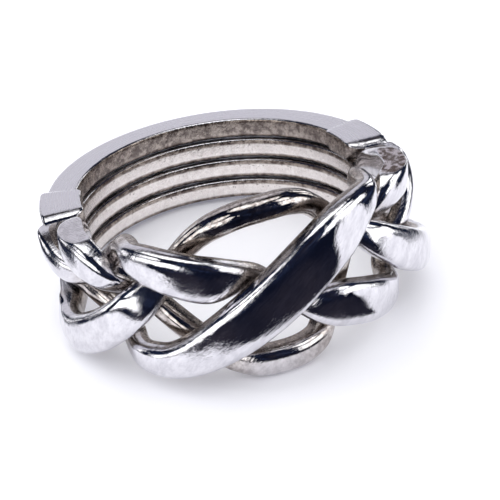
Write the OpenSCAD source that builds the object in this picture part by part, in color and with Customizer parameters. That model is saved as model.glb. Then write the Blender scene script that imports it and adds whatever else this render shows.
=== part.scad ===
// Four-ring disentanglement puzzle: four closed metal rings, woven together across the front.
// Behind, the rings lie on each other as four plain bands. At the front each one becomes a strand
// that swells into a leaf, a diagonal or an arch where it passes over, and thins where it passes under.
// The ring axis is Z and the knot faces -Y. The origin is on the axis, at half the height of the bands.

/* [Bands] */
// Outer diameter of the plain bands
outer_d = 44; // [43:0.5:46]
// Diameter of the opening inside the plain bands
inner_d = 36.4; // [36:0.2:37]
// Height of one band
band_h = 2.9; // [2.7:0.05:2.95]
// Distance from the middle of one band to the middle of the next
band_pitch = 3.05; // [3.05:0.01:3.1]

/* [End blocks] */
// Height of the flat-topped blocks at both ends of the top band
block_h = 3.2; // [3.0:0.1:3.3]
// Thickness of the blocks, from the finger side to the outside
block_t = 5.4; // [4.5:0.1:5.6]
// How far the blocks stand above the middle of the top band
block_lift = 0.15; // [0:0.05:0.2]
// Angle from the front to the front face of a block
block_front = 91; // [89.5:0.5:91]
// Angle from the front to the back of a block
block_back = 107; // [103:1:108]

/* [Surface] */
// Points around a strand's section
section_points = 12; // [12:4:16]
// Angle between two sections along the knot
knot_step = 2; // [2:1:4]
// How far the strands' faces turn downwards
face_tilt = 4; // [0:1:8]
// Height of the milled top of the V ring's left hump
left_top = 7.35; // [7.1:0.05:8]
// Height of the milled top of the V ring's right hump
right_top = 8.2; // [8:0.05:9]

/* [Hidden] */

band_t = (outer_d - inner_d) / 2;
mid_r = (outer_d + inner_d) / 4;
band_step = 8;
knot_end = 112;
band_square = 10;
strand_square = 2.4;
strand_flatness = 0.25;
band_inside = 5;
strand_inside = 3.4;
smoothing = 1.6;
taps = [0.135, 0.607, 1, 0.607, 0.135];

// Middle height of a band, counted from 0 at the top
function band_z(index) = (1.5 - index) * band_pitch;

// A path is a list of rows [angle, height, outset, width, thickness]. The angle is in degrees from the
// front, positive towards +X. The outset is how far the strand's middle lies outside that of the bands.
// Behind the first and last rows the ring is a plain band.
function plain(angle, index) = [angle, band_z(index), 0, band_h, band_t];

function block_rows(a, b) = [
    for (angle = [a, b]) [angle, band_z(0) + block_lift, 0.05, block_h, block_t]
];

// Top band. It drops outside the V ring on both sides and shows as two leaves at the front.
leaf_path = concat(
    [plain(-block_back - 2, 0)],
    block_rows(-block_back, -block_front),
    [
        [-89, 4.2, 1.7, 2.8, 2.8],
        [-85, 4.0, 2.6, 2.8, 2.6],
        [-79, 3.0, 2.9, 3.4, 2.6],
        [-73, 1.9, 2.5, 3.6, 2.6],
        [-67, 1.4, 0.75, 3.0, 2.6],
        [-60, 3.1, -0.8, 2.8, 2.6],
        [-54, 5.1, -0.8, 2.8, 2.6],
        [-48, 6.2, 0.3, 2.8, 2.8],
        [-41, 6.1, 2.75, 4.1, 3.0],
        [-31, 5.0, 3.2, 5.4, 3.0],
        [-20, 3.5, 2.7, 5.8, 3.0],
        [-12, 2.9, 1.6, 4.1, 2.8],
        [-6, 2.0, 0.3, 2.9, 2.8],
        [-1, 0.3, -0.5, 2.6, 2.8],
        [3, -1.1, -0.2, 2.7, 2.8],
        [8, -2.2, 0.9, 3.2, 2.8],
        [13, -2.9, 2.4, 4.6, 3.0],
        [20, -3.6, 3.2, 5.8, 3.0],
        [30, -5.0, 3.3, 5.7, 3.0],
        [41, -6.3, 2.8, 4.6, 3.0],
        [51, -6.6, 1.1, 3.4, 2.8],
        [57, -5.5, 0.1, 2.8, 2.6],
        [62, -3.4, 0.7, 2.8, 2.6],
        [67, -1.0, 2.5, 3.0, 2.6],
        [74, 2.0, 3.3, 3.6, 2.6],
        [80, 3.6, 3.2, 3.4, 2.6],
        [85, 4.0, 2.6, 2.8, 2.6],
        [89, 4.2, 1.7, 2.8, 2.8],
    ],
    block_rows(block_front, block_back),
    [plain(block_back + 2, 0)]
);

// Second band. It rises to a hump at each side and dips to the lowest point of the knot between them.
v_path = [
    plain(-96, 1),
    [-90, 1.45, -0.6, 2.8, 3.0],
    [-86, 2.0, -0.9, 2.8, 2.6],
    [-81, 4.0, -1.0, 2.8, 2.6],
    [-76, 5.6, 0.1, 3.4, 3.0],
    [-71, 6.1, 1.5, 4.0, 3.4],
    [-65, 5.65, 2.6, 4.6, 3.5],
    [-60, 4.6, 2.7, 4.8, 3.4],
    [-55, 3.1, 2.4, 4.0, 3.0],
    [-50, 1.3, 0.15, 3.0, 2.6],
    [-45, -0.3, -0.8, 2.8, 2.6],
    [-40, -1.8, -0.7, 2.8, 2.6],
    [-34, -3.6, -0.6, 2.8, 2.8],
    [-25, -6.2, -0.4, 2.8, 2.8],
    [-16, -8.0, 0.7, 3.4, 3.0],
    [-6, -8.8, 1.5, 3.8, 3.0],
    [4, -8.9, 1.3, 3.8, 3.0],
    [13, -8.3, 0.8, 3.4, 2.9],
    [20, -6.1, -0.4, 2.8, 2.8],
    [26, -2.4, -0.7, 2.9, 2.8],
    [33, 1.0, -0.9, 3.0, 2.6],
    [38, 2.9, -0.7, 2.9, 2.6],
    [43, 4.15, 0.8, 3.1, 2.8],
    [49, 5.7, 2.4, 4.4, 3.0],
    [56, 6.5, 3.0, 5.2, 3.0],
    [63, 6.5, 2.1, 4.8, 3.2],
    [70, 6.0, 0.5, 3.8, 3.2],
    [76, 5.2, -0.6, 3.2, 2.8],
    [81, 3.8, -1.0, 2.8, 2.6],
    [86, 2.0, -0.9, 2.8, 2.6],
    [90, 1.45, -0.6, 2.8, 3.0],
    plain(96, 1),
];

// Third band. It crosses the whole front as one wide diagonal.
diagonal_path = [
    plain(-96, 2),
    [-90, -1.55, -0.3, 2.8, 3.2],
    [-84, -1.6, -0.4, 2.8, 2.8],
    [-75, -1.5, -0.4, 2.8, 2.8],
    [-67, -2.2, -0.5, 2.8, 2.8],
    [-60, -3.6, -0.7, 2.8, 2.6],
    [-54, -5.3, -0.5, 2.8, 2.6],
    [-48, -6.6, 1.2, 3.2, 2.6],
    [-42, -6.9, 2.7, 3.8, 2.9],
    [-36, -6.9, 3.2, 4.2, 3.1],
    [-28, -6.1, 3.5, 5.0, 3.2],
    [-18, -4.0, 3.6, 6.2, 3.2],
    [-9, -1.7, 3.7, 6.9, 3.2],
    [3, 1.6, 3.7, 7.3, 3.2],
    [11, 3.9, 3.7, 7.4, 3.2],
    [19, 5.8, 3.6, 7.2, 3.2],
    [27, 7.3, 3.4, 5.8, 3.0],
    [34, 7.9, 2.9, 4.3, 2.8],
    [40, 8.0, 1.4, 3.2, 2.6],
    [45, 7.9, -0.5, 2.8, 2.6],
    [51, 6.0, -0.9, 2.8, 2.6],
    [58, 3.0, -0.8, 2.8, 2.6],
    [66, 0.4, -0.6, 2.8, 2.6],
    [75, -1.2, -0.4, 2.8, 2.8],
    [84, -1.6, -0.4, 2.8, 2.8],
    [90, -1.55, -0.3, 2.8, 3.2],
    plain(96, 2),
];

// Bottom band. It arches from a low bulge at each side to the highest point of the knot.
arch_path = [
    plain(-96, 3),
    [-90, -4.9, 0.4, 2.9, 3.6],
    [-84, -5.4, 1.4, 3.4, 3.2],
    [-78, -6.0, 2.5, 4.2, 3.0],
    [-69, -6.1, 3.4, 5.0, 3.0],
    [-60, -4.8, 3.3, 5.2, 3.0],
    [-51, -2.5, 3.3, 5.0, 3.0],
    [-44, -0.2, 2.75, 4.8, 3.0],
    [-38, 1.9, 0.75, 3.8, 2.8],
    [-32, 4.5, -0.6, 2.8, 2.8],
    [-24, 7.3, -0.5, 2.8, 2.8],
    [-15, 9.3, 0.1, 3.0, 3.0],
    [-5, 10.3, 0.4, 3.0, 3.0],
    [5, 10.4, 0.3, 3.0, 3.0],
    [14, 9.5, -0.2, 2.9, 2.8],
    [20, 8.0, -0.7, 2.8, 2.6],
    [26, 5.9, -0.6, 2.8, 2.6],
    [31, 4.0, 1.25, 2.8, 2.5],
    [36, 2.2, 2.9, 4.2, 2.8],
    [42, 0.3, 3.7, 4.8, 3.0],
    [49, -1.9, 4.4, 5.4, 3.0],
    [57, -3.8, 4.8, 5.4, 3.0],
    [66, -5.1, 4.6, 4.8, 3.0],
    [75, -5.5, 3.2, 4.0, 3.0],
    [84, -5.2, 1.4, 3.3, 3.2],
    [90, -4.9, 0.4, 2.9, 3.6],
    plain(96, 3),
];

// Slope-limited curve through a path's rows, so a strand never swells past its rows.
function secant(path, i) = (path[i + 1] - path[i]) / (path[i + 1][0] - path[i][0]);

function limited(a, b) = a * b <= 0 ? 0 : 2 * a * b / (a + b);

function slope(path, i) =
    i == 0 || i == len(path) - 1
    ? [0, 0, 0, 0, 0]
    : let (a = secant(path, i - 1), b = secant(path, i)) [for (k = [0:4]) limited(a[k], b[k])];

function span(path, angle, i = 0) = angle < path[i + 1][0] ? i : span(path, angle, i + 1);

function between(path, angle, i) =
    let (h = path[i + 1][0] - path[i][0], t = (angle - path[i][0]) / h)
    (2 * t ^ 3 - 3 * t ^ 2 + 1) * path[i]
    + (t ^ 3 - 2 * t ^ 2 + t) * h * slope(path, i)
    + (3 * t ^ 2 - 2 * t ^ 3) * path[i + 1]
    + (t ^ 3 - t ^ 2) * h * slope(path, i + 1);

function row_at(path, angle) =
    angle <= path[0][0] || angle >= path[len(path) - 1][0]
    ? path[0]
    : between(path, angle, span(path, angle));

// The path's values, evened out along the knot. The blocks stay crisp.
function smooth_row(path, angle) =
    let (spread = smoothing * (1 - ramp(abs(angle), 78, 88)))
    taps * [for (k = [0:4]) row_at(path, angle + (k - 2) * spread)] / (taps * [1, 1, 1, 1, 1]);

// Angles of the sections: close together round the knot and the blocks, wider behind
stations = concat(
    [for (angle = [-knot_end:knot_step:-block_front - 0.5]) angle],
    [-block_front, -block_front + 1],
    [for (angle = [-block_front + 3:knot_step:block_front - 3]) angle],
    [block_front - 1, block_front],
    [for (angle = [block_front + 1:knot_step:knot_end]) angle],
    [for (angle = [knot_end + band_step:band_step:360 - knot_end - band_step]) angle]
);

function wrapped(angle) = angle > 180 ? angle - 360 : angle;

function ramp(x, low, high) =
    let (t = max(0, min(1, (x - low) / (high - low))))
    t * t * (3 - 2 * t);

function outward(angle) = [sin(angle), -cos(angle), 0];

function centre(path, angle) =
    let (row = smooth_row(path, wrapped(angle)))
    (mid_r + row[2]) * outward(angle) + [0, 0, row[1]];

// Direction of a strand. Near the blocks its lean in and out is taken away, so their faces stay upright.
function heading(path, angle) =
    let (
        step = centre(path, angle + 0.5) - centre(path, angle - 0.5),
        lean = ramp(abs(wrapped(angle)), 82, 89),
        level = step - lean * (step * outward(angle)) * outward(angle)
    )
    level / norm(level);

// One section: a rounded oblong, nearly square on the bands and oval on the strands. The wider a
// strand, the flatter its face.
function section(path, angle) =
    let (
        side = abs(wrapped(angle)),
        row = smooth_row(path, wrapped(angle)),
        ahead = heading(path, angle),
        across = outward(angle) - (outward(angle) * ahead) * ahead,
        level = across / norm(across),
        tilt = face_tilt * (1 - ramp(side, 84, 90)),
        out = cos(tilt) * level + sin(tilt) * cross(ahead, level),
        down = cross(ahead, out),
        band = ramp(side, 80, 90),
        strand = strand_square + strand_flatness * (row[3] - band_h),
        square = strand + (band_square - strand) * band,
        inside = strand_inside + (band_inside - strand_inside) * band
    )
    [
        for (j = [0:section_points - 1])
        let (
            turn = 360 * (j + 0.5) / section_points,
            power = cos(turn) < 0 ? inside : square,
            reach = (abs(cos(turn)) ^ power + abs(sin(turn)) ^ power) ^ (-1 / power)
        )
        centre(path, angle)
        + row[4] / 2 * reach * cos(turn) * out
        + row[3] / 2 * reach * sin(turn) * down
    ];

// Cuts the humps on either side of the knot flat
function milled(points, angle, tops) =
    let (
        turn = wrapped(angle),
        top = abs(turn) > 40 && abs(turn) < 88 ? tops[turn < 0 ? 0 : 1] : 100
    )
    [for (p = points) [p[0], p[1], min(p[2], top)]];

module ring(path, tops = [100, 100]) {
    n = len(stations);
    m = section_points;
    points = [for (angle = stations) each milled(section(path, angle), angle, tops)];
    faces = [
        for (i = [0:n - 1], j = [0:m - 1])
        let (i2 = (i + 1) % n, j2 = (j + 1) % m)
        each [
            [i * m + j, i2 * m + j2, i * m + j2],
            [i * m + j, i2 * m + j, i2 * m + j2],
        ]
    ];
    polyhedron(points, faces, convexity = 10);
}

module leaf_ring() {
    color("silver") ring(leaf_path);
}

module v_ring() {
    color("lightgray") ring(v_path, [left_top, right_top]);
}

module diagonal_ring() {
    color("gainsboro") ring(diagonal_path);
}

module arch_ring() {
    color("whitesmoke") ring(arch_path);
}

leaf_ring();
v_ring();
diagonal_ring();
arch_ring();
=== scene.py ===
"""Looks of the four-band puzzle ring: four smooth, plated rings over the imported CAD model."""
import math
from types import SimpleNamespace

import bpy
import numpy as np
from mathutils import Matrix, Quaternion, Vector


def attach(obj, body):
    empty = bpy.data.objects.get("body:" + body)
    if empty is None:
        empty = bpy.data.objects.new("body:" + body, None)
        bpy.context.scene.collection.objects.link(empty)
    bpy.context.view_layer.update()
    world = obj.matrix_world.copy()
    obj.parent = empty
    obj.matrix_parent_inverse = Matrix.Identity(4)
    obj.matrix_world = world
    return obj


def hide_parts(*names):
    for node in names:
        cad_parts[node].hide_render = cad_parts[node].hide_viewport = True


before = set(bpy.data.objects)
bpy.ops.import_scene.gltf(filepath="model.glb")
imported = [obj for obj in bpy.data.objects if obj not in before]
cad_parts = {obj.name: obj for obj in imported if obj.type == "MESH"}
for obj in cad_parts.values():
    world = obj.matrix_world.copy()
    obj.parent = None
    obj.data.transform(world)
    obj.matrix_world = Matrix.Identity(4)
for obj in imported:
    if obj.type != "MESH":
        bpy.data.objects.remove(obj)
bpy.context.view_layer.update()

MM = 0.001

# Plain bands, in millimetres
OUTER_D = 44.0
INNER_D = 36.4
BAND_H = 2.9
BAND_T = (OUTER_D - INNER_D) / 2
MID_R = (OUTER_D + INNER_D) / 4
BAND_PITCH = 3.05

# Flat-topped blocks at both ends of the top band's plain arc
BLOCK_H = 3.2
BLOCK_T = 5.4
BLOCK_LIFT = 0.15
BLOCK_FRONT = 91
BLOCK_BACK = 107

# Surface: squareness of the sections, points around a section, degrees between sections, and how far
# a strand's values are evened out
BAND_SQUARE = 10.0
STRAND_SQUARE = 2.4
STRAND_FLATNESS = 0.25
BAND_INSIDE_TOP = 9.0
BAND_INSIDE_FOOT = 4.0
STRAND_INSIDE = 3.4
SECTION_POINTS = 56
KNOT_STEP = 0.5
BAND_STEP = 1.5
KNOT_END = 112
SMOOTH = 1.6

# Where the knot's strands turn into bands, in degrees from the front: the evening out along a strand
# ends, its section turns nearly square, its lean in and out is taken away, the downward turn of its
# face ends, and its finish changes to the bands' own
EVENED_TO = (78, 88)
SQUARED_FROM = (80, 90)
UPRIGHT_FROM = (82, 89)
TILTED_TO = (84, 90)
KNOT_FINISH_TO = (84, 92)

# How far a strand's face turns downwards, in degrees
FACE_TILT = 4

# The V ring's humps: heights of their milled tops on the left and right, the angles between which they
# are milled, the softness of the cut's edge, and the angles between which they are polished all round
V_TOPS = {-1: 7.35, 1: 8.2}
MILLED = (40, 88)
MILL_EDGE = 0.15
HUMP_FROM = (46, 54)
HUMP_TO = (86, 90)

# The finger side's cast finish lies inwards of these, counted from -1 at a section's inmost point to 1
# at its outmost. A hump has no cast finish at all
BAND_CAST_FROM = -0.55
HUMP_CAST_FROM = -1.2

# Painted shade in the hollows where strands dive under others: the outsets between which it fades, and
# the share of it that stays on the humps
SHADE_FADES_BY = (0.5, 2.3)
HUMP_SHADE_SHARE = 0.2

# Camera: where it stands round the ring, what it looks at, and its roll
CAMERA_AZIMUTH = -103.0
CAMERA_ELEVATION = 26.08
CAMERA_DISTANCE = 0.200
CAMERA_AIM = Vector((0.00228, -0.00267, -0.00395))
CAMERA_ROLL = -7.70
CAMERA_LENS = 111.9

# The ring leans back on the table: it stands on the knot's lowest arc and the back of the lowest band
FLOOR_TILT = 6.47
FLOOR_POINT = Vector((0, 0.0218, -0.00602))


def band_z(index):
    return (1.5 - index) * BAND_PITCH


def plain(angle, index):
    return [angle, band_z(index), 0, BAND_H, BAND_T]


def block_rows(a, b):
    return [[angle, band_z(0) + BLOCK_LIFT, 0.05, BLOCK_H, BLOCK_T] for angle in (a, b)]


# Path rows: angle from the front, height, outset from the bands' middle, width, thickness
LEAF_PATH = [
    plain(-BLOCK_BACK - 2, 0),
    *block_rows(-BLOCK_BACK, -BLOCK_FRONT),
    [-89, 4.2, 1.7, 2.8, 2.8],
    [-85, 4.0, 2.6, 2.8, 2.6],
    [-79, 3.0, 2.9, 3.4, 2.6],
    [-73, 1.9, 2.5, 3.6, 2.6],
    [-67, 1.4, 0.75, 3.0, 2.6],
    [-60, 3.1, -0.8, 2.8, 2.6],
    [-54, 5.1, -0.8, 2.8, 2.6],
    [-48, 6.2, 0.3, 2.8, 2.8],
    [-41, 6.1, 2.75, 4.1, 3.0],
    [-31, 5.0, 3.2, 5.4, 3.0],
    [-20, 3.5, 2.7, 5.8, 3.0],
    [-12, 2.9, 1.6, 4.1, 2.8],
    [-6, 2.0, 0.3, 2.9, 2.8],
    [-1, 0.3, -0.5, 2.6, 2.8],
    [3, -1.1, -0.2, 2.7, 2.8],
    [8, -2.2, 0.9, 3.2, 2.8],
    [13, -2.9, 2.4, 4.6, 3.0],
    [20, -3.6, 3.2, 5.8, 3.0],
    [30, -5.0, 3.3, 5.7, 3.0],
    [41, -6.3, 2.8, 4.6, 3.0],
    [51, -6.6, 1.1, 3.4, 2.8],
    [57, -5.5, 0.1, 2.8, 2.6],
    [62, -3.4, 0.7, 2.8, 2.6],
    [67, -1.0, 2.5, 3.0, 2.6],
    [74, 2.0, 3.3, 3.6, 2.6],
    [80, 3.6, 3.2, 3.4, 2.6],
    [85, 4.0, 2.6, 2.8, 2.6],
    [89, 4.2, 1.7, 2.8, 2.8],
    *block_rows(BLOCK_FRONT, BLOCK_BACK),
    plain(BLOCK_BACK + 2, 0),
]

V_PATH = [
    plain(-96, 1),
    [-90, 1.45, -0.6, 2.8, 3.0],
    [-86, 2.0, -0.9, 2.8, 2.6],
    [-81, 4.0, -1.0, 2.8, 2.6],
    [-76, 5.6, 0.1, 3.4, 3.0],
    [-71, 6.1, 1.5, 4.0, 3.4],
    [-65, 5.65, 2.6, 4.6, 3.5],
    [-60, 4.6, 2.7, 4.8, 3.4],
    [-55, 3.1, 2.4, 4.0, 3.0],
    [-50, 1.3, 0.15, 3.0, 2.6],
    [-45, -0.3, -0.8, 2.8, 2.6],
    [-40, -1.8, -0.7, 2.8, 2.6],
    [-34, -3.6, -0.6, 2.8, 2.8],
    [-25, -6.2, -0.4, 2.8, 2.8],
    [-16, -8.0, 0.7, 3.4, 3.0],
    [-6, -8.8, 1.5, 3.8, 3.0],
    [4, -8.9, 1.3, 3.8, 3.0],
    [13, -8.3, 0.8, 3.4, 2.9],
    [20, -6.1, -0.4, 2.8, 2.8],
    [26, -2.4, -0.7, 2.9, 2.8],
    [33, 1.0, -0.9, 3.0, 2.6],
    [38, 2.9, -0.7, 2.9, 2.6],
    [43, 4.15, 0.8, 3.1, 2.8],
    [49, 5.7, 2.4, 4.4, 3.0],
    [56, 6.5, 3.0, 5.2, 3.0],
    [63, 6.5, 2.1, 4.8, 3.2],
    [70, 6.0, 0.5, 3.8, 3.2],
    [76, 5.2, -0.6, 3.2, 2.8],
    [81, 3.8, -1.0, 2.8, 2.6],
    [86, 2.0, -0.9, 2.8, 2.6],
    [90, 1.45, -0.6, 2.8, 3.0],
    plain(96, 1),
]

DIAGONAL_PATH = [
    plain(-96, 2),
    [-90, -1.55, -0.3, 2.8, 3.2],
    [-84, -1.6, -0.4, 2.8, 2.8],
    [-75, -1.5, -0.4, 2.8, 2.8],
    [-67, -2.2, -0.5, 2.8, 2.8],
    [-60, -3.6, -0.7, 2.8, 2.6],
    [-54, -5.3, -0.5, 2.8, 2.6],
    [-48, -6.6, 1.2, 3.2, 2.6],
    [-42, -6.9, 2.7, 3.8, 2.9],
    [-36, -6.9, 3.2, 4.2, 3.1],
    [-28, -6.1, 3.5, 5.0, 3.2],
    [-18, -4.0, 3.6, 6.2, 3.2],
    [-9, -1.7, 3.7, 6.9, 3.2],
    [3, 1.6, 3.7, 7.3, 3.2],
    [11, 3.9, 3.7, 7.4, 3.2],
    [19, 5.8, 3.6, 7.2, 3.2],
    [27, 7.3, 3.4, 5.8, 3.0],
    [34, 7.9, 2.9, 4.3, 2.8],
    [40, 8.0, 1.4, 3.2, 2.6],
    [45, 7.9, -0.5, 2.8, 2.6],
    [51, 6.0, -0.9, 2.8, 2.6],
    [58, 3.0, -0.8, 2.8, 2.6],
    [66, 0.4, -0.6, 2.8, 2.6],
    [75, -1.2, -0.4, 2.8, 2.8],
    [84, -1.6, -0.4, 2.8, 2.8],
    [90, -1.55, -0.3, 2.8, 3.2],
    plain(96, 2),
]

ARCH_PATH = [
    plain(-96, 3),
    [-90, -4.9, 0.4, 2.9, 3.6],
    [-84, -5.4, 1.4, 3.4, 3.2],
    [-78, -6.0, 2.5, 4.2, 3.0],
    [-69, -6.1, 3.4, 5.0, 3.0],
    [-60, -4.8, 3.3, 5.2, 3.0],
    [-51, -2.5, 3.3, 5.0, 3.0],
    [-44, -0.2, 2.75, 4.8, 3.0],
    [-38, 1.9, 0.75, 3.8, 2.8],
    [-32, 4.5, -0.6, 2.8, 2.8],
    [-24, 7.3, -0.5, 2.8, 2.8],
    [-15, 9.3, 0.1, 3.0, 3.0],
    [-5, 10.3, 0.4, 3.0, 3.0],
    [5, 10.4, 0.3, 3.0, 3.0],
    [14, 9.5, -0.2, 2.9, 2.8],
    [20, 8.0, -0.7, 2.8, 2.6],
    [26, 5.9, -0.6, 2.8, 2.6],
    [31, 4.0, 1.25, 2.8, 2.5],
    [36, 2.2, 2.9, 4.2, 2.8],
    [42, 0.3, 3.7, 4.8, 3.0],
    [49, -1.9, 4.4, 5.4, 3.0],
    [57, -3.8, 4.8, 5.4, 3.0],
    [66, -5.1, 4.6, 4.8, 3.0],
    [75, -5.5, 3.2, 4.0, 3.0],
    [84, -5.2, 1.4, 3.3, 3.2],
    [90, -4.9, 0.4, 2.9, 3.6],
    plain(96, 3),
]


# ---- Ring shapes ----

def ramp(x, low, high):
    t = np.clip((x - low) / (high - low), 0, 1)
    return t * t * (3 - 2 * t)


def slopes(rows):
    """Slope at each row, limited so that the curve never swells past its rows."""
    secants = np.diff(rows, axis=0) / np.diff(rows[:, :1], axis=0)
    a, b = secants[:-1], secants[1:]
    product = a * b
    total = np.where(product > 0, a + b, 1)
    inner = np.where(product > 0, 2 * product / total, 0)
    edge = np.zeros((1, rows.shape[1]))
    return np.concatenate([edge, inner, edge])


def rows_at(path, angles):
    """The path's values at each angle, on a smooth curve through its rows."""
    rows = np.array(path, float)
    m = slopes(rows)
    x = np.clip(angles, rows[0, 0], rows[-1, 0])
    i = np.clip(np.searchsorted(rows[:, 0], x, side="right") - 1, 0, len(rows) - 2)
    h = (rows[i + 1, 0] - rows[i, 0])[:, None]
    t = (x[:, None] - rows[i, :1]) / h
    return (
        (2 * t**3 - 3 * t**2 + 1) * rows[i]
        + (t**3 - 2 * t**2 + t) * h * m[i]
        + (3 * t**2 - 2 * t**3) * rows[i + 1]
        + (t**3 - t**2) * h * m[i + 1]
    )


def smooth_rows_at(path, angles):
    """The path's values, evened out along the knot so that its reflections flow. Blocks stay crisp."""
    spread = SMOOTH * (1 - ramp(np.abs(angles), *EVENED_TO))
    steps = np.linspace(-2, 2, 17)
    weights = np.exp(-steps**2 / 2)
    total = sum(w * rows_at(path, angles + d * spread) for w, d in zip(weights, steps))
    return total / weights.sum()


def wrapped(angles):
    return np.where(angles > 180, angles - 360, angles)


def outward(angles):
    a = np.radians(angles)
    return np.stack([np.sin(a), -np.cos(a), np.zeros_like(a)], 1)


def centres(path, angles):
    rows = smooth_rows_at(path, wrapped(angles))
    points = (MID_R + rows[:, 2:3]) * outward(angles)
    points[:, 2] = rows[:, 1]
    return points, rows


def unit(v):
    return v / np.linalg.norm(v, axis=1, keepdims=True)


def stations():
    knot = np.arange(-KNOT_END, KNOT_END, KNOT_STEP)
    behind = np.arange(KNOT_END, 360 - KNOT_END, BAND_STEP)
    return np.concatenate([knot, behind])


def section_circle(outside, inside_top, inside_foot):
    """Points of a rounded oblong of half-size 1. Each array says how square one side is."""
    t = 2 * math.pi * (np.arange(SECTION_POINTS) + 0.5) / SECTION_POINTS
    finger = np.where(np.sin(t) < 0, inside_foot[:, None], inside_top[:, None])
    power = 2 / np.where(np.cos(t) < 0, finger, outside[:, None])
    across = np.sign(np.cos(t)) * np.abs(np.cos(t)) ** power
    up = np.sign(np.sin(t)) * np.abs(np.sin(t)) ** power
    return across, up


def milled(points, angles, tops):
    """Cuts the humps beside the knot flat, with a softened edge, and says how far each point is cut."""
    cut = np.zeros(points.shape[:2])
    for side, top in tops.items():
        near = (side * wrapped(angles) > MILLED[0]) & (side * wrapped(angles) < MILLED[1])
        over = np.clip(points[near, :, 2] - top + MILL_EDGE, 0, 2 * MILL_EDGE)
        points[near, :, 2] = np.minimum(points[near, :, 2], top + MILL_EDGE) - over**2 / (4 * MILL_EDGE)
        cut[near] = over / (2 * MILL_EDGE)
    return points, cut


def directions(path, angles, side):
    """Unit vectors at each section: out through the strand's face, and up its height."""
    step = centres(path, angles + 0.5)[0] - centres(path, angles - 0.5)[0]
    out = outward(angles)
    lean = ramp(side, *UPRIGHT_FROM) * np.sum(step * out, axis=1)
    ahead = unit(step - lean[:, None] * out)
    across = unit(out - np.sum(out * ahead, axis=1)[:, None] * ahead)
    up = np.cross(across, ahead)
    tilt = np.radians(FACE_TILT) * (1 - ramp(side, *TILTED_TO))[:, None]
    return np.cos(tilt) * across - np.sin(tilt) * up, np.cos(tilt) * up + np.sin(tilt) * across


def section_shapes(widths, side):
    """Each section's outline: nearly square on the bands, and flatter the wider a strand is."""
    band = ramp(side, *SQUARED_FROM)
    strand = STRAND_SQUARE + STRAND_FLATNESS * (widths - BAND_H)
    outside = strand + (BAND_SQUARE - strand) * band
    inside_top = STRAND_INSIDE + (BAND_INSIDE_TOP - STRAND_INSIDE) * band
    inside_foot = STRAND_SQUARE + (BAND_INSIDE_FOOT - STRAND_SQUARE) * band
    return section_circle(outside, inside_top, inside_foot)


def finish_values(outsets, side, cast_from, tops):
    """What the plate's material is told at each section, repeated for the section's points."""
    hump = ramp(side, *HUMP_FROM) * (1 - ramp(side, *HUMP_TO)) if tops else 0 * side
    knot = 1 - ramp(side, *KNOT_FINISH_TO)
    values = {
        "knot": knot,
        # Painted shade where a strand passes under others, fading as it comes back out
        "under_shade": knot * (1 - ramp(outsets, *SHADE_FADES_BY)) * (1 - (1 - HUMP_SHADE_SHARE) * hump),
        "cast_from": cast_from + (HUMP_CAST_FROM - cast_from) * hump,
    }
    return {key: np.repeat(value[:, None], SECTION_POINTS, axis=1) for key, value in values.items()}


def ring_points(path, cast_from, tops):
    """A ring's points, section by section, and the values that its material is told at each point."""
    angles = stations()
    side = np.abs(wrapped(angles))
    middle, rows = centres(path, angles)
    across, up = directions(path, angles, side)
    a, b = section_shapes(rows[:, 3], side)
    points = (
        middle[:, None]
        + (rows[:, 4, None] / 2 * a)[:, :, None] * across[:, None]
        + (rows[:, 3, None] / 2 * b)[:, :, None] * up[:, None]
    )
    points, cut = milled(points, angles, tops)
    values = finish_values(rows[:, 2], side, cast_from, tops)
    return points, {"out": a, "up": b, "cut": cut, **values}


def ring_mesh(name, points, values):
    n, m = points.shape[:2]
    i, j = np.meshgrid(np.arange(n), np.arange(m), indexing="ij")
    i2, j2 = (i + 1) % n, (j + 1) % m
    faces = np.stack([i * m + j, i2 * m + j, i2 * m + j2, i * m + j2], -1).reshape(-1, 4)
    mesh = bpy.data.meshes.new(name)
    mesh.from_pydata((points.reshape(-1, 3) * MM).tolist(), [], faces.tolist())
    mesh.polygons.foreach_set("use_smooth", [True] * len(mesh.polygons))
    for key, value in values.items():
        layer = mesh.attributes.new(key, "FLOAT", "POINT")
        layer.data.foreach_set("value", value.ravel())
    mesh.update()
    return mesh


# ---- Materials ----

# Brush marks on the upper faces: how fast the pattern changes along a mark and across it
BRUSH_ALONG = 60.0
BRUSH_ACROSS = 5200.0

# Colours in pairs, between which a pattern mixes
POLISHED = ((0.79, 0.78, 0.81), (0.59, 0.58, 0.62))
# Painted shade in the hollows, from light to dark brown
SHADE_IN_HOLLOWS = ((0.66, 0.61, 0.57), (0.25, 0.20, 0.17))
BRUSHED = ((0.68, 0.67, 0.71), (0.82, 0.81, 0.85))
WORN = ((0.60, 0.55, 0.57), (0.085, 0.052, 0.042))
PALE_CAST = ((0.95, 0.90, 0.87), (0.82, 0.76, 0.73))
# Brown of the painted shade strips beside the grooves, and of the rough band's cast face
BROWN_CAST_AND_SHADE = ((0.44, 0.38, 0.335), (0.13, 0.10, 0.09))
# Darker painted shade, at the foot of each band and on the knot's finger side
DARK_SHADE_BROWN = ((0.30, 0.25, 0.215), (0.085, 0.066, 0.058))
PIT = (0.10, 0.08, 0.07)

# Heights on a section, from -1 at its foot to 1 at its top, between which a finish begins: the brown
# strips of painted shade beside the grooves at both edges of the finger side, the bare bevel, the
# darkest painted shade at the foot, and the pits
SHADE_STRIP_TOP = (0.40, 0.60)
SHADE_STRIP_FOOT = (-0.36, -0.60)
BEVEL = (0.84, 0.90)
SHADED_FOOT = (-0.45, -0.80)
PITTED = (-0.1, 0.5)

# How upright the normal of a band's brushed upper face is, and how softly the cast finish begins
LEVEL = (0.965, 0.992)
CAST_BLEND = 0.05

# Roughness: of a clean mirror, and from least to most of its wiped marks, the flats and the cast side
MIRROR = 0.03
WIPED = (0.07, 0.17)
SATIN = (0.22, 0.34)
DULL = (0.16, 0.32)

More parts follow.
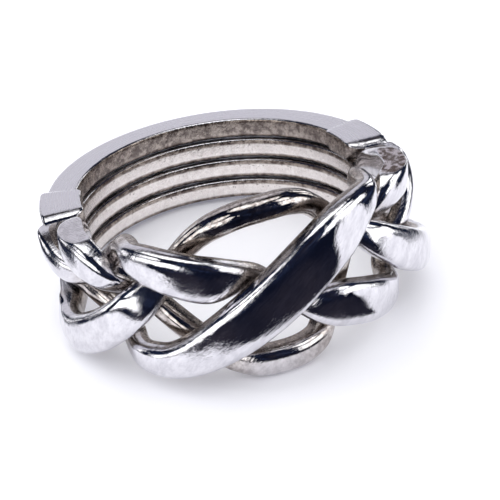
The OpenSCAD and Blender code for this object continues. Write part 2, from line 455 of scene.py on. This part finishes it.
# Relief: height in millimetres, and strength
WAVE_RELIEF = (0.04, 0.5)
RIPPLE_RELIEF = (0.007, 0.8)
WIPE_RELIEF = (0.05, 1.0)
GRAIN_RELIEF = (0.04, 0.6)

# Directions of the wipe marks and of the broader smears, in radians
WIPE_TURN = -0.9
SMEAR_TURN = -0.6


class Shader:
    """A node material that is built a line at a time."""

    def __init__(self, name):
        self.material = bpy.data.materials.new(name)
        self.material.use_nodes = True
        self.nodes = self.material.node_tree.nodes
        self.links = self.material.node_tree.links
        self.surface = self.nodes["Principled BSDF"]
        self.place = self.node("ShaderNodeTexCoord").outputs["Object"]

    def node(self, kind, inputs=None, **settings):
        made = self.nodes.new(kind)
        for key, value in settings.items():
            setattr(made, key, value)
        for key, value in (inputs or {}).items():
            if isinstance(value, bpy.types.NodeSocket):
                self.links.new(value, made.inputs[key])
            else:
                made.inputs[key].default_value = value
        return made

    def value(self, name):
        return self.node("ShaderNodeAttribute", attribute_name=name).outputs["Fac"]

    def rings(self):
        """A place whose fine steps run in circles round the ring, for brush marks."""
        flat = self.scaled((1, 1, 0))
        radius = self.node("ShaderNodeVectorMath", {0: flat}, operation="LENGTH").outputs["Value"]
        around_it = self.scaled((BRUSH_ALONG, BRUSH_ALONG, 0))
        inward = self.math("MULTIPLY", radius, BRUSH_ACROSS)
        upward = self.math("MULTIPLY", self.axis(self.place, "Z"), BRUSH_ACROSS)
        lift = self.node("ShaderNodeCombineXYZ", {"Z": self.math("ADD", inward, upward)}).outputs[0]
        return self.node("ShaderNodeVectorMath", {0: around_it, 1: lift}, operation="ADD").outputs[0]

    def axis(self, vector, letter):
        return self.node("ShaderNodeSeparateXYZ", {0: vector}).outputs[letter]

    def math(self, operation, a, b=0.0):
        return self.node("ShaderNodeMath", {0: a, 1: b}, operation=operation).outputs[0]

    def product(self, a, b):
        return self.math("MULTIPLY", a, b)

    def rest(self, share):
        """What a share leaves of 1."""
        return self.math("SUBTRACT", 1.0, share)

    def turned(self, angle):
        """The place, turned about the axis that points out of the knot."""
        inputs = {"Vector": self.place, "Angle": angle}
        return self.node("ShaderNodeVectorRotate", inputs, rotation_type="Y_AXIS").outputs[0]

    def scaled(self, scale, vector=None):
        inputs = {0: vector or self.place, 1: scale}
        return self.node("ShaderNodeVectorMath", inputs, operation="MULTIPLY").outputs[0]

    def noise(self, vector, scale, detail=3.0, rough=0.5):
        inputs = {"Vector": vector, "Scale": scale, "Detail": detail, "Roughness": rough}
        return self.node("ShaderNodeTexNoise", inputs).outputs["Fac"]

    def remap(self, value, low, high, to_low=0.0, to_high=1.0):
        inputs = {"Value": value, "From Min": low, "From Max": high, "To Min": to_low, "To Max": to_high}
        return self.node("ShaderNodeMapRange", inputs, interpolation_type="SMOOTHSTEP").outputs["Result"]

    def mix(self, factor, a, b):
        return self.node("ShaderNodeMix", {0: factor, 2: a, 3: b}, data_type="FLOAT").outputs[0]

    def tint(self, factor, a, b):
        made = self.node("ShaderNodeMix", {0: factor}, data_type="RGBA")
        self.connect(a, made.inputs[6])
        self.connect(b, made.inputs[7])
        return made.outputs[2]

    def connect(self, value, socket):
        if isinstance(value, bpy.types.NodeSocket):
            self.links.new(value, socket)
        elif isinstance(value, tuple):
            socket.default_value = (*value, 1.0)
        else:
            socket.default_value = value

    def set(self, **values):
        for key, value in values.items():
            self.connect(value, self.surface.inputs[key.replace("_", " ")])

    def bump(self, height, relief, normal=None):
        inputs = {"Height": height, "Distance": relief[0] * MM, "Strength": relief[1]}
        if normal:
            inputs["Normal"] = normal
        return self.node("ShaderNodeBump", inputs).outputs["Normal"]


def finish_areas(s):
    """Where each finish lies on a ring, in shares from 0 to 1."""
    up, knot, cut = s.value("up"), s.value("knot"), s.value("cut")
    band = s.rest(knot)
    upward = s.axis(s.node("ShaderNodeNewGeometry").outputs["Normal"], "Z")
    level = s.product(s.remap(upward, *LEVEL), band)
    cast_from = s.mix(knot, BAND_CAST_FROM, s.value("cast_from"))
    finger = s.remap(s.math("SUBTRACT", s.value("out"), cast_from), CAST_BLEND, -CAST_BLEND)
    bevel = s.product(s.remap(up, *BEVEL), band)
    return SimpleNamespace(
        up=up,
        knot=knot,
        cut=cut,
        flat=s.math("MAXIMUM", level, cut),
        # Strips of painted shade beside the grooves between bands
        strip=s.math("MAXIMUM", s.remap(up, *SHADE_STRIP_TOP), s.remap(up, *SHADE_STRIP_FOOT)),
        cast=s.product(finger, s.product(s.rest(cut), s.rest(bevel))),
    )


def plate_patterns(s):
    """The patterns of the plate. A noise's scale says how many of its features lie along a metre."""
    pits = s.noise(s.scaled((1, 1, 1.6)), 2300, detail=2.0)
    return SimpleNamespace(
        patch=s.remap(s.noise(s.place, 190), 0.40, 0.60),
        waves=s.noise(s.place, 420, detail=2.0),
        smear=s.noise(s.scaled((1, 1, 0.35), s.turned(SMEAR_TURN)), 900, rough=0.6),
        cloud=s.noise(s.place, 1000, detail=6.0, rough=0.7),
        pits=s.remap(pits, 0.36, 0.29),
        ripples=s.noise(s.place, 2400),
        wipe=s.noise(s.scaled((1, 1, 0.2), s.turned(WIPE_TURN)), 3000, detail=4.0, rough=0.65),
        grain=s.noise(s.scaled((1, 1, 0.6)), 3800, detail=5.0, rough=0.7),
        brushed=s.noise(s.rings(), 1.0, rough=0.6),
    )


def outside_colour(s, area, pattern):
    """Polished plate with brown painted shade in the hollows, brushed flats and a worn one on the right
    hump.
    """
    streaks = s.mix(0.6, s.remap(pattern.wipe, 0.30, 0.70), s.remap(pattern.smear, 0.35, 0.65))
    # Brown painted shade for the hollows under other strands
    shaded_hollow = s.tint(s.remap(pattern.cloud, 0.35, 0.65), *SHADE_IN_HOLLOWS)
    polished = s.tint(s.product(s.value("under_shade"), 0.8), s.tint(streaks, *POLISHED), shaded_hollow)
    brushed = s.tint(pattern.brushed, *BRUSHED)
    worn = s.tint(s.remap(pattern.cloud, 0.43, 0.55), *WORN)
    right = s.remap(s.axis(s.place, "X"), -0.005, 0.005)
    wear = s.product(s.remap(area.cut, 0.80, 1.0), s.mix(right, 0.25, 1.0))
    return s.tint(area.flat, polished, s.tint(wear, brushed, worn))


def finger_side_colour(s, area, pattern, roughcast):
    """The cast finish: pale and pitted, with brown painted shade along the edges beside the grooves and
    over the knot's strands, and brown on a rough band.
    """
    shade = s.remap(pattern.cloud, 0.40, 0.60)
    # Darker painted shade at the foot of the finger side and over the knot's strands
    foot_and_knot_shade = s.math("MAXIMUM", area.knot, s.remap(area.up, *SHADED_FOOT))
    brown_cast_and_shade = s.tint(foot_and_knot_shade, s.tint(shade, *BROWN_CAST_AND_SHADE), s.tint(shade, *DARK_SHADE_BROWN))
    pitted = s.product(pattern.pits, s.remap(area.up, *PITTED))
    pale = s.tint(pitted, s.tint(s.remap(pattern.cloud, 0.3, 0.7), *PALE_CAST), PIT)
    # Brown: painted shade on the strips and over the knot's strands, and the rough band's own brown
    shade_and_roughcast = s.mix(area.knot, s.math("MAXIMUM", area.strip, roughcast), 0.85)
    return s.tint(shade_and_roughcast, pale, brown_cast_and_shade)


def plate_roughness(s, area, pattern):
    """Mirror polish with wiped patches, satin flats, and a dull finger side."""
    polished = s.remap(pattern.wipe, 0.40, 0.72, MIRROR, s.mix(pattern.patch, *WIPED))
    flat = s.remap(pattern.brushed, 0.3, 0.7, *SATIN)
    cast = s.remap(pattern.grain, 0.3, 0.7, *DULL)
    return s.mix(area.cast, s.mix(area.flat, polished, flat), cast)


def plate_relief(s, area, pattern):
    """Waves and ripples of hand polishing, wipe marks, and the grain of the casting."""
    wiped = s.product(pattern.wipe, s.mix(pattern.patch, 0.35, 1.0))
    relief = s.bump(pattern.waves, WAVE_RELIEF)
    relief = s.bump(pattern.ripples, RIPPLE_RELIEF, relief)
    relief = s.bump(wiped, WIPE_RELIEF, relief)
    return s.bump(s.product(pattern.grain, area.cast), GRAIN_RELIEF, relief)


def plated(name, roughcast):
    """Nickel plate: polished strands, brushed upper faces, and a finger side left as it was cast."""
    s = Shader(name)
    area, pattern = finish_areas(s), plate_patterns(s)
    finger_side = finger_side_colour(s, area, pattern, roughcast)
    s.set(
        Base_Color=s.tint(area.cast, outside_colour(s, area, pattern), finger_side),
        Roughness=plate_roughness(s, area, pattern),
        Metallic=1.0,
        Normal=plate_relief(s, area, pattern),
    )
    return s.material


# ---- Rings ----

def build_ring(node, body, path, roughcast, cast_from, tops=None):
    """Builds a ring over its CAD node.

    roughcast is how brown its band is on the finger side, and cast_from is how far out the cast finish
    reaches on its strands.
    """
    name = node + "_cast"
    points, values = ring_points(path, cast_from, tops or {})
    ring = bpy.data.objects.new(name, ring_mesh(name, points, values))
    bpy.context.scene.collection.objects.link(ring)
    ring.data.materials.append(plated(node + "_plate", roughcast))
    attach(ring, body)
    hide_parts(node)


build_ring("leaf_ring", "leaf", LEAF_PATH, roughcast=0.9, cast_from=-0.1)
build_ring("v_ring", "v", V_PATH, roughcast=0.0, cast_from=0.3, tops=V_TOPS)
build_ring("diagonal_ring", "diagonal", DIAGONAL_PATH, roughcast=0.0, cast_from=-0.1)
build_ring("arch_ring", "arch", ARCH_PATH, roughcast=0.0, cast_from=-0.1)


# ---- Studio ----

# Floor: its size in metres, and the tint and strength of its own faint glow
FLOOR_SIZE = 3.0
FLOOR_TINT = (0.80, 0.82, 1.0)
FLOOR_GLOW = 0.12

# Cards: squares along each side of a card, how high a card of painted floor shade lies over the floor
# and how far it reaches, in metres, and half the width of a window in degrees
SHEET_STEPS = 12
SHADE_CARD_LIFT = 0.0004
SHADE_CARD_REACH = 0.43
WINDOW_HALF = 5

# Lights: the softboxes' glow, the key light's power in watts, its size in metres, its place as azimuth,
# elevation and distance, and the tint and glow of the air
SOFTBOX_GLOW = 2.2
KEY_POWER = 0.75
KEY_SIZE = 0.45
KEY_PLACE = (130, 72, 0.5)
AIR_TINT = (0.97, 0.97, 1.0)
AIR_GLOW = 1.06


def plain_material(name, colour, roughness):
    material = bpy.data.materials.new(name)
    material.use_nodes = True
    surface = material.node_tree.nodes["Principled BSDF"]
    surface.inputs["Base Color"].default_value = (*colour, 1)
    surface.inputs["Roughness"].default_value = roughness
    return material


def glow_material(name, colour, strength):
    material = plain_material(name, (0, 0, 0), 1.0)
    surface = material.node_tree.nodes["Principled BSDF"]
    surface.inputs["Specular IOR Level"].default_value = 0.0
    surface.inputs["Emission Color"].default_value = (*colour, 1)
    surface.inputs["Emission Strength"].default_value = strength
    return material


def dark_material(name):
    """The unlit side of the studio: nearly black, with dim blue and brown shapes in it."""
    s = Shader(name)
    shapes = s.noise(s.place, 14, detail=4.0, rough=0.6)
    warm = s.remap(s.noise(s.place, 9, detail=2.0), 0.5, 0.62)
    dim = s.tint(warm, (0.040, 0.062, 0.140), (0.056, 0.050, 0.066))
    glow = s.tint(s.remap(shapes, 0.45, 0.72), (0.006, 0.008, 0.020), dim)
    s.set(Base_Color=(0, 0, 0), Roughness=1.0, Specular_IOR_Level=0.0)
    s.set(Emission_Color=glow, Emission_Strength=1.0)
    return s.material


def around(azimuth, elevation, distance):
    a, e = math.radians(azimuth), math.radians(elevation)
    return Vector((math.cos(a) * math.cos(e), math.sin(a) * math.cos(e), math.sin(e))) * distance


def stage_sheet(name, material, point_at):
    """A curved sheet of the studio through point_at(u, v), for u and v from 0 to 1."""
    steps = range(SHEET_STEPS)
    grid = [k / SHEET_STEPS for k in range(SHEET_STEPS + 1)]
    points = [point_at(u, v) for u in grid for v in grid]
    row = len(grid)
    corners = [(i * row + j, (i + 1) * row + j) for i in steps for j in steps]
    faces = [(a, b, b + 1, a + 1) for a, b in corners]
    mesh = bpy.data.meshes.new(name)
    mesh.from_pydata(points, [], faces)
    mesh.materials.append(material)
    sheet = bpy.data.objects.new(name, mesh)
    bpy.context.scene.collection.objects.link(sheet)
    return sheet


def only_reflected(sheet):
    sheet.visible_camera = False
    sheet.visible_diffuse = False
    sheet.visible_shadow = False


def card(name, material, azimuths, elevations, distance):
    """A curved card that shows only in reflections. Azimuths are counted from the camera's."""
    def point_at(u, v):
        azimuth = CAMERA_AZIMUTH + azimuths[0] + u * (azimuths[1] - azimuths[0])
        elevation = elevations[0] + v * (elevations[1] - elevations[0])
        return around(azimuth, elevation, distance)

    only_reflected(stage_sheet(name, material, point_at))


def floor_height(x, y):
    return FLOOR_POINT.z + (y - FLOOR_POINT.y) * math.tan(math.radians(FLOOR_TILT))


def floor_shade_card(name, material, azimuths, near):
    """A dark card of painted shade that lies on the white floor and shows only in reflections. Its near
    edge runs from one distance to another.
    """
    def point_at(u, v):
        azimuth = CAMERA_AZIMUTH + azimuths[0] + u * (azimuths[1] - azimuths[0])
        start = near[0] + u * (near[1] - near[0])
        flat = around(azimuth, 0, start + v**2 * (SHADE_CARD_REACH - start))
        return Vector((flat.x, flat.y, floor_height(flat.x, flat.y) + SHADE_CARD_LIFT))

    only_reflected(stage_sheet(name, material, point_at))


def floor():
    def point_at(u, v):
        x, y = (u - 0.5) * FLOOR_SIZE, (v - 0.5) * FLOOR_SIZE
        return Vector((x, y, floor_height(x, y)))

    paper = plain_material("floor_paper", (0.95, 0.95, 0.965), 0.8)
    surface = paper.node_tree.nodes["Principled BSDF"]
    surface.inputs["Emission Color"].default_value = (*FLOOR_TINT, 1)
    surface.inputs["Emission Strength"].default_value = FLOOR_GLOW
    stage_sheet("floor", paper, point_at)


def key_light():
    data = bpy.data.lights.new("key", "AREA")
    data.energy = KEY_POWER
    data.size = KEY_SIZE
    lamp = bpy.data.objects.new("key", data)
    lamp.location = around(*KEY_PLACE)
    lamp.rotation_euler = (-lamp.location).to_track_quat("-Z", "Y").to_euler()
    lamp.visible_glossy = False
    bpy.context.scene.collection.objects.link(lamp)


def light_air():
    world = bpy.data.worlds.new("studio_air")
    world.use_nodes = True
    air = world.node_tree.nodes["Background"]
    air.inputs["Color"].default_value = (*AIR_TINT, 1)
    air.inputs["Strength"].default_value = AIR_GLOW
    bpy.context.scene.world = world


def reflected_room():
    """What the plate mirrors: a dark room, painted shade on the floor, and softboxes and windows in it.
    """
    dark = dark_material("studio_dark")
    dim = glow_material("studio_dim", (0.05, 0.045, 0.05), 1.0)
    grey = glow_material("studio_grey", (0.74, 0.73, 0.79), 1.0)
    bright = glow_material("softbox_glow", (1, 1, 1), SOFTBOX_GLOW)
    card("surround_dark", dark, (-146, 162), (-9, 54), 0.42)
    card("back_grey", grey, (160, 216), (-2, 54), 0.43)
    # Dark cards on the white floor, seen only in reflections: painted shade of the floor around the ring
    floor_shade_card("floor_shade_left", dark, (-130, -74), (0.040, 0.040))
    floor_shade_card("floor_shade_rise", dark, (-74, -18), (0.110, 0.036))
    floor_shade_card("floor_shade_middle", dark, (-18, 50), (0.036, 0.028))
    floor_shade_card("floor_shade_fall", dark, (50, 64), (0.030, 0.160))
    floor_shade_card("floor_shade_right", dark, (80, 165), (0.048, 0.066))
    card("softbox_left", bright, (-72, -14), (-12, 20), 0.38)
    card("softbox_left_upper", bright, (-62, -34), (28, 50), 0.38)
    card("softbox_right", bright, (42, 96), (-10, 22), 0.38)
    card("softbox_right_upper", bright, (46, 78), (29, 52), 0.38)
    card("top_dark", dark, (-130, 118), (52, 66), 0.41)
    card("softbox_top", bright, (-130, 118), (66, 89), 0.40)
    card("back_dark", dim, (118, 230), (52, 72), 0.42)
    for k, azimuth in enumerate((-119, -102, 133, 152)):
        card("window_" + str(k), bright, (azimuth - WINDOW_HALF, azimuth + WINDOW_HALF), (-4, 26), 0.40)


def camera():
    data = bpy.data.cameras.new("camera")
    data.lens = CAMERA_LENS
    data.sensor_width = 36.0
    data.clip_start = 0.01
    view = bpy.data.objects.new("camera", data)
    view.location = around(CAMERA_AZIMUTH, CAMERA_ELEVATION, CAMERA_DISTANCE)
    aim = (CAMERA_AIM - view.location).to_track_quat("-Z", "Y")
    view.rotation_mode = "QUATERNION"
    view.rotation_quaternion = aim @ Quaternion((0, 0, 1), math.radians(CAMERA_ROLL))
    bpy.context.scene.collection.objects.link(view)
    bpy.context.scene.camera = view


bpy.context.scene.view_settings.view_transform = "Standard"
light_air()
floor()
key_light()
reflected_room()
camera()
